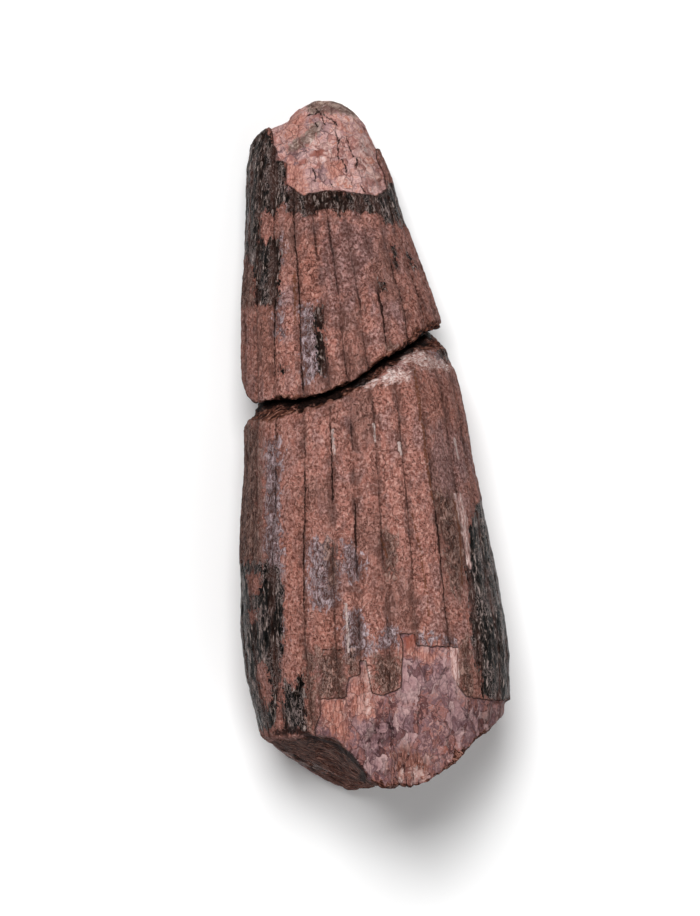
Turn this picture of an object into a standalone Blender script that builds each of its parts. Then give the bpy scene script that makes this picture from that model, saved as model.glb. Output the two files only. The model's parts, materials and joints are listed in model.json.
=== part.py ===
"""Fossil crown of a large fish-eating dinosaur's tooth, broken across into two pieces.

The crown lies on its side, as it would on a table, with its two pieces set together at the break.
X runs across the crown, Y from the broken base to the worn tip, and Z up. The origin is on the
table, under the middle of the crown. The crown is first made whole, with its flutes, and then
loses what the fossil has lost: the root end, the enamel at both ends, and a sliver at the break.
"""

import math

import bmesh
import bpy
from mathutils import Vector, noise

MM = 0.001  # sizes below are in millimetres

# Plan of the whole crown, as (y, x) along each edge, from beyond the base to beyond the tip
LEFT_EDGE = (
    (-38, -9.6), (-30, -11.2), (-27, -12.0), (-24, -12.8), (-19.5, -13.3), (-14, -13.5),
    (-5, -13.25), (1, -13.1), (9, -13.3), (20, -13.1), (25, -12.9), (30, -12.5), (33, -11.7), (37, -10.2),
)
RIGHT_EDGE = (
    (-38, 12.4), (-30, 13.2), (-24, 13.5), (-20.6, 13.4), (-15.8, 12.6), (-11, 11.7), (-6.2, 10.8),
    (0.9, 9.3), (5.7, 8.4), (10, 7.0), (13.5, 6.3), (16.5, 5.2), (21.3, 3.4), (23, 2.9), (26, 1.9),
    (28.5, 1.1), (31, -0.1), (33.5, -1.4), (37, -4.2),
)
# Height of the whole crown above the table, as (y, height)
HEIGHT = ((-38, 22.6), (-24, 22.6), (-10, 21.4), (0, 19.8), (10, 17.6), (20, 14.6), (28, 11.8), (37, 7.5))

WORN_FLAT = 0.3  # depth rubbed off the side that the crown rests on
SECTION_POWER = 2.15  # 2 is an ellipse, more is squarer
ENAMEL = 0.4  # thickness of the enamel over the dentine
CORE_FLOOR = 0.08  # height of the dentine's own worn flat
LUMP = 0.22  # swell of the uneven surface
LUMP_LENGTH = 6.5

# Grooves between the flutes, in degrees from the top of the crown, +X side positive
GROOVE_ANGLES = (
    -75, -59, -44, -27, -13, -2.5, 9.5, 22.5, 37, 53, 69,
    84, 99, 113, 128, 142, 156, 170, 184, 198, 212, 226, 241, 256, 271,
)
GROOVE_DEPTH = 0.3
RIDGE_RISE = 0.1
SHOULDER = 0.13  # share of a flute that each side of its groove takes
TWIST = 0.2  # degrees that the flutes turn per millimetre towards the tip
RING_PITCH = 2.4
CORE_RELIEF = 0.4  # share of the flutes' relief that shows on the dentine
CORE_START = -37.5
CORE_PITCH = 3.2

# The dentine's worn tip: its plan as (y, x) along each edge, and where its height starts to round in
TIP_END = 34.6
TIP_LEFT_EDGE = (
    (30.6, -11.9), (31.2, -11.4), (31.8, -10.5), (32.1, -9.8), (32.5, -8.9), (33.1, -8.45), (33.6, -7.95),
    (34.1, -7.2), (34.6, -6.1),
)
TIP_RIGHT_EDGE = ((30.6, -0.2), (31.9, -0.9), (33.3, -1.9), (34.2, -3.1), (34.6, -4.2))
TIP_ROUND_HIGH = 23.0
TIP_BLUNTNESS = 2.6  # more keeps the dome high for longer
TIP_END_HEIGHT = 0.34  # share of the height that is left at the very end
TIP_RINGS = (25.5, 27.5, 29.0, 30.2, 31.2, 31.8, 32.1, 32.5, 33.1, 33.6, 34.1, TIP_END)

# Edges of the lost enamel in plan, on the upper side and on the side that faces the table
TIP_LEDGE = (
    (-16, 29.0), (-12.5, 29.7), (-12.35, 30.4), (-12.0, 30.85), (-11.6, 31.25), (-11.1, 31.6),
    (-10.6, 31.75), (-10.3, 30.9), (-10.2, 30.0), (-9.8, 29.3), (-10.0, 28.4), (-8.9, 28.1),
    (-8.9, 26.1), (-7.9, 25.2), (-7.1, 24.8), (-6.2, 25.0), (-4.9, 25.2), (-3.1, 25.2), (-1.5, 25.0),
    (0.2, 24.8), (1.2, 25.6), (0.9, 27.3), (0.2, 28.6), (0.2, 29.7), (3, 30.9), (3, 42), (-16, 42),
)
TIP_LEDGE_BELOW = (
    (-17, 29.4), (-12.4, 30.2), (-11.4, 31.3), (-9.5, 28.6), (-7.4, 29.4), (-5.2, 27.9), (-2.4, 28.6),
    (-0.6, 29.3), (4, 30.2), (4, 43), (-17, 43),
)
TIP_LEDGES_MEET = 5.0  # height where the two outlines take over from each other
BASE_LEDGE = (
    (-5.9, -42), (-5.9, -27.9), (-5.5, -26.7), (-5.5, -25.1), (-2.9, -24.9), (-2.7, -22.9), (-1.6, -22.7),
    (-1.6, -21.3), (-0.9, -21.3), (-0.3, -24.4), (0.6, -24.7), (2.5, -24.0), (2.7, -19.6), (2.3, -18.5),
    (3.8, -18.7), (4.1, -19.8), (8.2, -20.0), (8.2, -23.8), (9.0, -24.8), (10.6, -25.2), (16, -25.8),
    (16, -42),
)
BASE_LEDGE_BELOW = (
    (-17, -43), (-17, -28.4), (-9.3, -27.6), (-7.2, -25.9), (-3.1, -26.2), (-0.4, -24.0), (3.6, -24.4),
    (6.8, -26.5), (10.2, -25.4), (17, -25.9), (17, -43),
)
BASE_LEDGES_MEET = 10.0
LEDGES_OVERLAP = 0.5

# The break across the crown, in plan at its top, as (x, y). It rakes towards the tip going down.
BREAK_LINE = (
    (-14, 2.35), (-12.4, 2.8), (-9.6, 3.8), (-7.8, 3.9), (-5.8, 4.3), (-3.8, 5.2), (-1.9, 6.0), (-0.5, 7.0),
    (0.6, 7.8), (1.9, 8.3), (3.5, 9.1), (4.7, 9.8), (6.2, 10.05), (9, 10.3), (14, 10.6),
)
BREAK_TOP = 18.0
BREAK_RAKE = 0.13
BREAK_GAP = 0.3
BREAK_RIM = 0.82  # share of the section inside its chipped rim
BASE_RIM_CHIP = 0.75
TIP_RIM_CHIP = 0.35
BREAK_ROUGHNESS = 0.3
BREAK_GRAIN = 2.6
RIM_WOBBLE = 0.05  # unevenness of the chipped rim, as a share of the section
RIM_WOBBLE_LENGTH = 3.0
RIM_CHIP_CURVE = 1.5
RIM_CHIP_LIMIT = 1.3

# The base's fracture: (x, y) of its rim on the upper side, and low down near the table
BASE_RIM_HEIGHT = 19.5
BASE_RIM = (
    (-13, -28.4), (-10, -28.8), (-4.5, -29.2), (-3, -30.2), (-1.2, -32.6), (0, -33.8), (2.5, -33.7),
    (4.3, -33.7), (5.8, -32.6), (7.8, -31.5), (8.8, -30.4), (9.8, -29.3), (11.6, -28.0), (14, -26.0),
)
BASE_FOOT_HEIGHT = 5.0
BASE_FOOT = (
    (-13, -28.2), (-11.3, -29.7), (-8.6, -31.5), (-6.2, -32.7), (-4, -33.7), (-2, -34.4), (-0.6, -34.4),
    (0.6, -33.9), (2.5, -33.5), (4.4, -32.8), (8.2, -30.4), (14, -26.0),
)
BASE_ROUGHNESS = 0.28
BASE_SHARE_RANGE = (-0.1, 1.15)  # how far past its rim and foot the fracture is ruled on

# Chipped corners beside the break, in plan: the base piece's two, and the tip piece's left one
BASE_LEFT_CORNER = (
    (-15, 5.5), (-11.2, 5.5), (-11.5, 4.1), (-11.7, 3.6), (-12.1, 2.8), (-12.75, 2.1), (-13.05, 1.5),
    (-15, 0.5),
)
BASE_RIGHT_CORNER = (
    (5.3, 12.5), (5.45, 11.4), (6.3, 10.45), (6.85, 9.95), (7.15, 9.15), (7.6, 7.8), (9, 7.0),
    (9, 12.5),
)
TIP_LEFT_CORNER = (
    (-15, 7.5), (-13.2, 6.3), (-13.05, 5.7), (-12.75, 5.0), (-12.2, 4.4), (-11.4, 3.9), (-11.2, 1.0),
    (-15, 1.0),
)

# The flake lost from the base piece's upper right corner, at the break
FLAKE_X = (0.4, 12.5)
FLAKE_Y = (5.9, 14.0)
FLAKE_CORNER = (1.0, 6.9, 17.3)
FLAKE_FALL_X = 0.70
FLAKE_FALL_Y = 0.8
FLAKE_BULGE = 1.0
FLAKE_BULGE_FLOOR = -1.0
FLAKE_CENTRE_X = 4.0
FLAKE_HALF_WIDTH = 3.2
FLAKE_GRAIN = 1.8
FLAKE_ROUGHNESS = 0.2

REACH = 26.0  # half size of a cutter across the crown
BELOW = -6.0  # how low the fracture cutters start
ABOVE = 30.0
FAR = 70.0  # how far a cutter is pushed, past the end of the crown
CELL = 1.5  # facet size of a fracture
SMALL_FACET = 2.3  # how much finer the small facets are
SMALL_FACET_RELIEF = 0.45
SHORTEST_EDGE = 0.01  # shorter edges are merged away
SHARP_ANGLE = 35
TIP_COLOUR = (0.27, 0.13, 0.10)
BASE_COLOUR = (0.25, 0.12, 0.10)
DULLNESS = 0.6


def smooth_value(points, at):
    """The value at a place on a smooth curve through (place, value) points."""
    if at <= points[0][0]:
        return points[0][1]
    if at >= points[-1][0]:
        return points[-1][1]
    i = next(k for k in range(len(points) - 1) if points[k + 1][0] >= at)
    before, start, end, after = (points[max(0, min(k, len(points) - 1))] for k in (i - 1, i, i + 1, i + 2))
    width = end[0] - start[0]
    start_slope = (end[1] - before[1]) / (end[0] - before[0])
    end_slope = (after[1] - start[1]) / (after[0] - start[0])
    t = (at - start[0]) / width
    return (
        (2 * t**3 - 3 * t**2 + 1) * start[1]
        + (t**3 - 2 * t**2 + t) * width * start_slope
        + (3 * t**2 - 2 * t**3) * end[1]
        + (t**3 - t**2) * width * end_slope
    )


def section(y):
    """Centre x and z, half width and half height of the whole crown at y."""
    left = smooth_value(LEFT_EDGE, y)
    right = smooth_value(RIGHT_EDGE, y)
    half_height = smooth_value(HEIGHT, y) / 2
    return (left + right) / 2, half_height - WORN_FLAT, (right - left) / 2, half_height


def core_section(y):
    """The same for the dentine under the enamel, which rounds in to the worn tip."""
    centre_x, centre_z, half_width, half_height = section(y)
    left = centre_x - half_width + ENAMEL
    right = centre_x + half_width - ENAMEL
    if y > TIP_LEFT_EDGE[0][0]:
        left = max(left, smooth_value(TIP_LEFT_EDGE, y))
        right = min(right, smooth_value(TIP_RIGHT_EDGE, y))
    along = max(0.0, min(1.0, (y - TIP_ROUND_HIGH) / (TIP_END - TIP_ROUND_HIGH)))
    high = math.sqrt(1 + TIP_END_HEIGHT**2 - along**TIP_BLUNTNESS)
    return (left + right) / 2, centre_z, (right - left) / 2, (half_height - ENAMEL) * high


def wall_point(y, angle, rise, shape, floor):
    """A point on a side wall, in metres, rising from the smooth section that shape(y) gives."""
    centre_x, centre_z, half_width, half_height = shape(y)
    turn = math.radians(angle + TWIST * y)
    across, up = math.sin(turn), math.cos(turn)
    reach = (abs(across) ** SECTION_POWER + abs(up) ** SECTION_POWER) ** (-1 / SECTION_POWER)
    smooth = Vector((centre_x + half_width * across, y, centre_z + half_height * up))
    rise += LUMP * noise.noise(smooth / LUMP_LENGTH)
    x = centre_x + (half_width * reach + rise) * across
    z = centre_z + (half_height * reach + rise) * up
    return Vector((x, y, max(z, floor))) * MM


def flute_profile(relief):
    """(angle, rise) once round the crown: each groove, its two shoulders and the crest between."""
    profile = []
    for start, end in zip(GROOVE_ANGLES, GROOVE_ANGLES[1:] + (GROOVE_ANGLES[0] + 360,)):
        span = end - start
        profile += [
            (start, -GROOVE_DEPTH * relief),
            (start + SHOULDER * span, 0.0),
            (start + span / 2, RIDGE_RISE * relief),
            (end - SHOULDER * span, 0.0),
        ]
    return profile


def lofted(name, rings):
    """A closed solid through rings of points, each ring going round the same way."""
    mesh = bmesh.new()
    loops = [[mesh.verts.new(point) for point in ring] for ring in rings]
    for low, high in zip(loops, loops[1:]):
        for k in range(len(low)):
            after = (k + 1) % len(low)
            mesh.faces.new((low[k], low[after], high[after], high[k]))
    for loop, ring in ((loops[0], rings[0]), (loops[-1], rings[-1])):
        hub = mesh.verts.new(sum(ring, Vector()) / len(ring))
        for k in range(len(loop)):
            mesh.faces.new((loop[k], loop[(k + 1) % len(loop)], hub))
    bmesh.ops.triangulate(mesh, faces=mesh.faces[:])
    return finished(name, mesh)


def finished(name, mesh):
    """Turns an edited mesh into an object in the scene, with its faces pointing out."""
    bmesh.ops.recalc_face_normals(mesh, faces=mesh.faces[:])
    data = bpy.data.meshes.new(name)
    mesh.to_mesh(data)
    mesh.free()
    obj = bpy.data.objects.new(name, data)
    bpy.context.scene.collection.objects.link(obj)
    return obj


def helper(obj):
    """Marks a cutter, which is no part of the tooth."""
    obj.hide_render = True
    obj.display_type = "WIRE"
    return obj


def whole_crown(name):
    """The crown with all of its enamel, from beyond the base fracture to beyond the tip."""
    start, end = LEFT_EDGE[0][0], LEFT_EDGE[-1][0]
    count = round((end - start) / RING_PITCH)
    profile = flute_profile(1.0)
    stations = [start + (end - start) * k / count for k in range(count + 1)]
    return lofted(name, [[wall_point(y, a, r, section, 0.0) for a, r in profile] for y in stations])


def dentine_core():
    """The smooth dentine under the enamel, with the worn tip."""
    profile = [(angle, rise) for angle, rise in flute_profile(CORE_RELIEF) if rise != 0.0]
    count = int((TIP_RINGS[0] - CORE_START) / CORE_PITCH) + 1
    stations = [CORE_START + CORE_PITCH * k for k in range(count)] + list(TIP_RINGS)
    rings = [[wall_point(y, a, r, core_section, CORE_FLOOR) for a, r in profile] for y in stations]
    return helper(lofted("dentine_core", rings))


def prism(name, outline, low, high):
    """An upright prism over a plan outline."""
    mesh = bmesh.new()
    foot = mesh.faces.new([mesh.verts.new(Vector((x, y, low)) * MM) for x, y in outline])
    raised = bmesh.ops.extrude_face_region(mesh, geom=[foot])["geom"]
    top = [item for item in raised if isinstance(item, bmesh.types.BMVert)]
    bmesh.ops.translate(mesh, verts=top, vec=(0, 0, (high - low) * MM))
    bmesh.ops.triangulate(mesh, faces=mesh.faces[:])
    return helper(finished(name, mesh))


def rough_block(name, place, u_range, v_range, push):
    """A block with one rough face, where place(u, v) gives a point, pushed back to a far face."""
    columns = round((u_range[1] - u_range[0]) / CELL)
    rows = round((v_range[1] - v_range[0]) / CELL)
    mesh = bmesh.new()
    bmesh.ops.create_grid(mesh, x_segments=columns, y_segments=rows, size=0.5)
    for vert in mesh.verts:
        u = u_range[0] + (vert.co.x + 0.5) * (u_range[1] - u_range[0])
        v = v_range[0] + (vert.co.y + 0.5) * (v_range[1] - v_range[0])
        vert.co = place(u, v) * MM
    pushed = bmesh.ops.extrude_face_region(mesh, geom=mesh.faces[:])["geom"]
    far = [item for item in pushed if isinstance(item, bmesh.types.BMVert)]
    bmesh.ops.translate(mesh, verts=far, vec=Vector(push) * MM)
    bmesh.ops.triangulate(mesh, faces=mesh.faces[:])
    return helper(finished(name, mesh))


def roughness(point, size, amount):
    """Uneven height at a point: broad facets with smaller ones on them."""
    return amount * (noise.noise(point / size) + SMALL_FACET_RELIEF * noise.noise(point * SMALL_FACET / size))


def rim_share(x, y, z):
    """0 inside a break, rising to 1 at its rim and past it."""
    centre_x, centre_z, half_width, half_height = section(y)
    out = math.hypot((x - centre_x) / half_width, (z - centre_z) / half_height)
    out += RIM_WOBBLE * noise.noise(Vector((x, y, z)) / RIM_WOBBLE_LENGTH)
    return max(0.0, min(RIM_CHIP_LIMIT, (out - BREAK_RIM) / (1 - BREAK_RIM)))


def break_point(x, z, gap, chip):
    """A point on one side of the break across the crown."""
    y = smooth_value(BREAK_LINE, x) + BREAK_RAKE * (BREAK_TOP - z)
    y += roughness(Vector((x, 0, z)), BREAK_GRAIN, BREAK_ROUGHNESS)
    return Vector((x, y + gap + chip * rim_share(x, y, z) ** RIM_CHIP_CURVE, z))


def base_point(x, z):
    """A point on the fracture at the base, ruled between its rim and its foot."""
    share = (BASE_RIM_HEIGHT - z) / (BASE_RIM_HEIGHT - BASE_FOOT_HEIGHT)
    rim, foot = smooth_value(BASE_RIM, x), smooth_value(BASE_FOOT, x)
    y = rim + (foot - rim) * max(BASE_SHARE_RANGE[0], min(BASE_SHARE_RANGE[1], share))
    return Vector((x, y + roughness(Vector((x, 30, z)), BREAK_GRAIN, BASE_ROUGHNESS), z))


def flake_point(x, y):
    """A point on the scar of the flake that the base piece lost at its upper right corner."""
    corner_x, corner_y, corner_z = FLAKE_CORNER
    bulge = FLAKE_BULGE * (1 - ((x - FLAKE_CENTRE_X) / FLAKE_HALF_WIDTH) ** 2)
    z = corner_z - FLAKE_FALL_X * (x - corner_x) - FLAKE_FALL_Y * (y - corner_y)
    z += max(FLAKE_BULGE_FLOOR, bulge)
    return Vector((x, y, z + roughness(Vector((x, y, 50)), FLAKE_GRAIN, FLAKE_ROUGHNESS)))


def cut(obj, cutter, operation="DIFFERENCE"):
    """Takes a cutter's shape away from an object, or adds it."""
    modifier = obj.modifiers.new(cutter.name, "BOOLEAN")
    modifier.operation = operation
    modifier.object = cutter
    return obj


def enamel_loss(name, outline_above, outline_below, meeting, core):
    """What the lost enamel took up: prisms over its two plan outlines, less the dentine in them."""
    loss = prism(name, outline_above, meeting, meeting + REACH)
    cut(loss, prism(name + "_below", outline_below, -REACH, meeting + LEDGES_OVERLAP), "UNION")
    return cut(loss, core)


def material(name, colour):
    made = bpy.data.materials.new(name)
    made.use_nodes = True
    shader = made.node_tree.nodes["Principled BSDF"]
    shader.inputs["Base Color"].default_value = (*colour, 1)
    shader.inputs["Roughness"].default_value = DULLNESS
    shader.inputs["Metallic"].default_value = 0.0
    return made


def cleaned(shape):
    """A cut shape without the hair-thin triangles that the cuts leave."""
    mesh = bmesh.new()
    mesh.from_mesh(shape)
    bmesh.ops.triangulate(mesh, faces=mesh.faces[:])
    bmesh.ops.remove_doubles(mesh, verts=mesh.verts[:], dist=SHORTEST_EDGE * MM)
    bmesh.ops.dissolve_degenerate(mesh, edges=mesh.edges[:], dist=SHORTEST_EDGE * MM)
    bmesh.ops.triangulate(mesh, faces=mesh.faces[:])
    hanging = {face for edge in mesh.edges if edge.is_boundary for face in edge.link_faces}
    bmesh.ops.delete(mesh, geom=list(hanging), context="FACES")
    mesh.to_mesh(shape)
    mesh.free()
    return shape


def set_on_origin(pieces):
    """Gives each piece its cut shape as its own mesh, with the origin under the crown's middle."""
    bpy.context.view_layer.update()
    graph = bpy.context.evaluated_depsgraph_get()
    shapes = [cleaned(bpy.data.meshes.new_from_object(piece.evaluated_get(graph))) for piece in pieces]
    corners = [vert.co for shape in shapes for vert in shape.vertices]
    low = Vector(min(corner[axis] for corner in corners) for axis in range(3))
    high = Vector(max(corner[axis] for corner in corners) for axis in range(3))
    shift = Vector((-(low.x + high.x) / 2, -(low.y + high.y) / 2, -low.z))
    for piece, shape in zip(pieces, shapes):
        piece.modifiers.clear()
        for vert in shape.vertices:
            vert.co += shift
        piece.data = shape
        shape.shade_smooth()
        shape.set_sharp_from_angle(angle=math.radians(SHARP_ANGLE))


def main():
    for obj in list(bpy.data.objects):
        bpy.data.objects.remove(obj)
    core = dentine_core()
    crown_tip = whole_crown("crown_tip")
    crown_base = whole_crown("crown_base")
    across, up = (-REACH, REACH), (BELOW, ABOVE)

    cut(crown_tip, enamel_loss("tip_loss", TIP_LEDGE, TIP_LEDGE_BELOW, TIP_LEDGES_MEET, core))
    tip_side = rough_block(
        "break_tip_side", lambda x, z: break_point(x, z, BREAK_GAP, TIP_RIM_CHIP), across, up, (0, -FAR, 0)
    )
    cut(crown_tip, tip_side)
    cut(crown_tip, prism("tip_left_corner", TIP_LEFT_CORNER, -REACH, REACH))

    cut(crown_base, enamel_loss("base_loss", BASE_LEDGE, BASE_LEDGE_BELOW, BASE_LEDGES_MEET, core))
    base_side = rough_block(
        "break_base_side", lambda x, z: break_point(x, z, 0.0, -BASE_RIM_CHIP), across, up, (0, FAR, 0)
    )
    cut(crown_base, base_side)
    cut(crown_base, prism("base_left_corner", BASE_LEFT_CORNER, -REACH, REACH))
    cut(crown_base, prism("base_right_corner", BASE_RIGHT_CORNER, -REACH, REACH))
    cut(crown_base, rough_block("base_fracture", base_point, across, up, (0, -FAR, 0)))
    cut(crown_base, rough_block("flake_scar", flake_point, FLAKE_X, FLAKE_Y, (0, 0, REACH)))

    crown_tip.data.materials.append(material("tip_enamel", TIP_COLOUR))
    crown_base.data.materials.append(material("base_enamel", BASE_COLOUR))
    set_on_origin([crown_tip, crown_base])


main()
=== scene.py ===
"""Looks of a fossil tooth crown, broken across into two pieces, lying on its side on a pale surface.

Each piece is a finely meshed copy of its solid. Its points are moved to carve flakes, cracks and
wrinkles, and each point holds numbers that say how far it lies inside a finish: black enamel, bare
dentine, a broken face and so on. The material turns those numbers into colour, gloss and bump.

Outlines and lines below are drawn in plan, in millimetres: X across the crown and Y towards the
worn tip, as the crown is seen from above.
"""

import json
import math

import bpy
import numpy as np
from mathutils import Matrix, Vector, noise

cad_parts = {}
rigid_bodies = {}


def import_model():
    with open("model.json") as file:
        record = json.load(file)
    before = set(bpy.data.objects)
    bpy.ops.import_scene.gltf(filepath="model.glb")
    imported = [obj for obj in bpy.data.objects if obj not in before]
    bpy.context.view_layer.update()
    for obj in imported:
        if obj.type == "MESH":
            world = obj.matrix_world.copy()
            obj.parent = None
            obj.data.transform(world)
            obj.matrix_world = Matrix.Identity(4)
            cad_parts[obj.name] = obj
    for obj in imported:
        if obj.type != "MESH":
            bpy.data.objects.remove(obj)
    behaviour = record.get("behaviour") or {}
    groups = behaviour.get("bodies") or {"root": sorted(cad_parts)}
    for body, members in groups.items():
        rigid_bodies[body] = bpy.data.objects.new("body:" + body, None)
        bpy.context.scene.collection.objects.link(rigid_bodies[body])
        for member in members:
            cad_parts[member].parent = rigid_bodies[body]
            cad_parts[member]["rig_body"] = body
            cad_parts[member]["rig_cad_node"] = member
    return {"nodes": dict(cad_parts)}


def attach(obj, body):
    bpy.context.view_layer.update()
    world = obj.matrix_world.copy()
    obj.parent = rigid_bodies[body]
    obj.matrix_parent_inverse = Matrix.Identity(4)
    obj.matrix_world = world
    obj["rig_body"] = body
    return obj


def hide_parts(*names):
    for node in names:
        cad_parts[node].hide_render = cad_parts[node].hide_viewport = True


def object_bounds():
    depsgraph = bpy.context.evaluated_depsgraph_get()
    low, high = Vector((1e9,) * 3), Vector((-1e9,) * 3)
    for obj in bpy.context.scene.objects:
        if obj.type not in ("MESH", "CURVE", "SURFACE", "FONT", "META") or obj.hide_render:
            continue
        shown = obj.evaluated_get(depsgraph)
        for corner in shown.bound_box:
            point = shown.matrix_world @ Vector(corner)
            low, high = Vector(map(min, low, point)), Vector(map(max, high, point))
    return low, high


MM = 0.001
DRAWING_SHIFT = np.array((-0.002, 0.165, 0.0))  # from the drawing's zero to the frame's origin

# The whole crown before it broke, as in its solids: (y, x) of each edge, and (y, height)
LEFT_EDGE = (
    (-38, -9.6), (-30, -11.2), (-27, -12.0), (-24, -12.8), (-19.5, -13.3), (-14, -13.5),
    (-5, -13.25), (1, -13.1), (9, -13.3), (20, -13.1), (25, -12.9), (30, -12.5), (33, -11.7), (37, -10.2),
)
RIGHT_EDGE = (
    (-38, 12.4), (-30, 13.2), (-24, 13.5), (-20.6, 13.4), (-15.8, 12.6), (-11, 11.7), (-6.2, 10.8),
    (0.9, 9.3), (5.7, 8.4), (10, 7.0), (13.5, 6.3), (16.5, 5.2), (21.3, 3.4), (23, 2.9), (26, 1.9),
    (28.5, 1.1), (31, -0.1), (33.5, -1.4), (37, -4.2),
)
HEIGHT = ((-38, 22.6), (-24, 22.6), (-10, 21.4), (0, 19.8), (10, 17.6), (20, 14.6), (28, 11.8), (37, 7.5))
WORN_FLAT = 0.3
SECTION_POWER = 2.15
GROOVE_ANGLES = (
    -75, -59, -44, -27, -13, -2.5, 9.5, 22.5, 37, 53, 69,
    84, 99, 113, 128, 142, 156, 170, 184, 198, 212, 226, 241, 256, 271, 285,
)
TWIST = 0.2

# The break across the crown, in plan at its top. It rakes towards the tip going down.
BREAK_LINE = (
    (-14, 2.35), (-12.4, 2.8), (-9.6, 3.8), (-7.8, 3.9), (-5.8, 4.3), (-3.8, 5.2), (-1.9, 6.0), (-0.5, 7.0),
    (0.6, 7.8), (1.9, 8.3), (3.5, 9.1), (4.7, 9.8), (6.2, 10.05), (9, 10.3), (14, 10.6),
)
BREAK_TOP = 18.0
BREAK_RAKE = 0.13

# Edges of the lost enamel, on the upper side and on the side that faces the table
TIP_LEDGE = (
    (-16, 29.0), (-12.5, 29.7), (-12.35, 30.4), (-12.0, 30.85), (-11.6, 31.25), (-11.1, 31.6),
    (-10.6, 31.75), (-10.3, 30.9), (-10.2, 30.0), (-9.8, 29.3), (-10.0, 28.4), (-8.9, 28.1),
    (-8.9, 26.1), (-7.9, 25.2), (-7.1, 24.8), (-6.2, 25.0), (-4.9, 25.2), (-3.1, 25.2), (-1.5, 25.0),
    (0.2, 24.8), (1.2, 25.6), (0.9, 27.3), (0.2, 28.6), (0.2, 29.7), (3, 30.9), (3, 42), (-16, 42),
)
TIP_LEDGE_BELOW = (
    (-17, 29.4), (-12.4, 30.2), (-11.4, 31.3), (-9.5, 28.6), (-7.4, 29.4), (-5.2, 27.9), (-2.4, 28.6),
    (-0.6, 29.3), (4, 30.2), (4, 43), (-17, 43),
)
TIP_LEDGES_MEET = 5.2
BASE_LEDGE = (
    (-5.9, -42), (-5.9, -27.9), (-5.5, -26.7), (-5.5, -25.1), (-2.9, -24.9), (-2.7, -22.9), (-1.6, -22.7),
    (-1.6, -21.3), (-0.9, -21.3), (-0.3, -24.4), (0.6, -24.7), (2.5, -24.0), (2.7, -19.6), (2.3, -18.5),
    (3.8, -18.7), (4.1, -19.8), (8.2, -20.0), (8.2, -23.8), (9.0, -24.8), (10.6, -25.2), (16, -25.8),
    (16, -42),
)
BASE_LEDGE_BELOW = (
    (-17, -43), (-17, -28.4), (-9.3, -27.6), (-7.2, -25.9), (-3.1, -26.2), (-0.4, -24.0), (3.6, -24.4),
    (6.8, -26.5), (10.2, -25.4), (17, -25.9), (17, -43),
)
BASE_LEDGES_MEET = 10.2

# Patches of each finish on the side that shows
BLACK = (
    (  # left of the worn tip, and down the left side
        (-16, 33), (-11.2, 33), (-10.8, 31.6), (-10.4, 30.9), (-9.8, 29.6), (-9.7, 28.5), (-8.9, 28.1),
        (-8.8, 27.2), (-8.9, 25.6), (-8.3, 25.1), (-7.9, 24.5), (-7.6, 23.3), (-8.2, 22.6), (-8.6, 23.3),
        (-9.1, 24.0), (-9.6, 23.7), (-9.9, 22.3), (-10.3, 22.9), (-11.0, 23.3), (-11.6, 22.7), (-11.5, 20.6),
        (-11.1, 20.0), (-10.2, 20.7), (-9.5, 20.2), (-9.4, 17.5), (-9.6, 13.9), (-11.9, 13.9), (-12.0, 17.3),
        (-12.9, 18.6), (-16, 18.8),
    ),
    (  # band under the worn tip, and its right end
        (-8.8, 25.9), (-7.1, 25.3), (0.3, 25.3), (1.0, 26.0), (4, 27.0), (4.2, 21.0), (3.1, 21.5),
        (2.3, 22.1), (1.1, 21.9), (0.8, 22.6), (-0.3, 23.0), (-1.4, 22.9), (-2.5, 23.2), (-3.7, 22.9),
        (-4.1, 23.6), (-5.0, 23.5), (-6.0, 22.8), (-7.2, 22.5), (-7.8, 23.6),
    ),
    ((1.5, 19.7), (2.1, 19.8), (2.4, 17.7), (2.0, 17.5)),
    ((0.2, 16.6), (0.6, 16.5), (1.2, 15.6), (0.9, 15.1), (0.5, 15.5)),
    ((3.0, 19.1), (3.6, 18.9), (4.1, 17.6), (3.6, 17.7)),
    ((-6.2, 13.7), (-5.2, 13.8), (-5.1, 11.3), (-6.1, 11.2)),
    ((-6.0, 11.0), (-5.2, 11.2), (-4.7, 8.2), (-5.0, 6.9), (-5.7, 7.0)),
    ((-9.5, 7.8), (-8.8, 7.7), (-8.8, 7.1), (-9.4, 7.0)),
    (  # left side of the base piece, low down
        (-16, -11.4), (-13.1, -11.8), (-12.2, -11.3), (-11.1, -12.2), (-10.9, -11.7), (-9.5, -12.4),
        (-9.1, -14.6), (-9.1, -20.5), (-9.4, -22.9), (-9.9, -28.2), (-12.6, -28.6), (-16, -28),
    ),
    ((-9.1, -23.6), (-8.1, -23.9), (-7.0, -22.6), (-6.8, -28.3), (-9.0, -28.3)),
    (  # right side of the base piece
        (16, -4.4), (11.2, -5.0), (9.9, -6.2), (9.2, -9.5), (9.1, -12.6), (9.5, -16.4), (9.6, -19.5),
        (10.3, -22.6), (10.6, -24.8), (16, -26.5),
    ),
    ((6.3, 10.1), (7.2, 9.6), (7.7, 8.2), (6.9, 8.3), (6.3, 9.0)),
    ((3.9, 11.3), (4.6, 11.5), (5.6, 11.4), (5.3, 10.8), (4.3, 10.8)),
)
RED_IN_BLACK = (
    ((-12.8, -12.6), (-11.4, -12.9), (-11.2, -14.6), (-12.4, -15.2)),
    ((-12.7, -16.6), (-11.8, -16.4), (-11.7, -17.6), (-12.5, -17.7)),
    ((-11.7, -21.6), (-10.9, -21.3), (-10.2, -24.6), (-10.7, -26.4), (-11.4, -25.0)),
    ((-12.7, 17.0), (-12.3, 16.8), (-12.2, 14.3), (-12.9, 14.2)),
)
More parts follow.
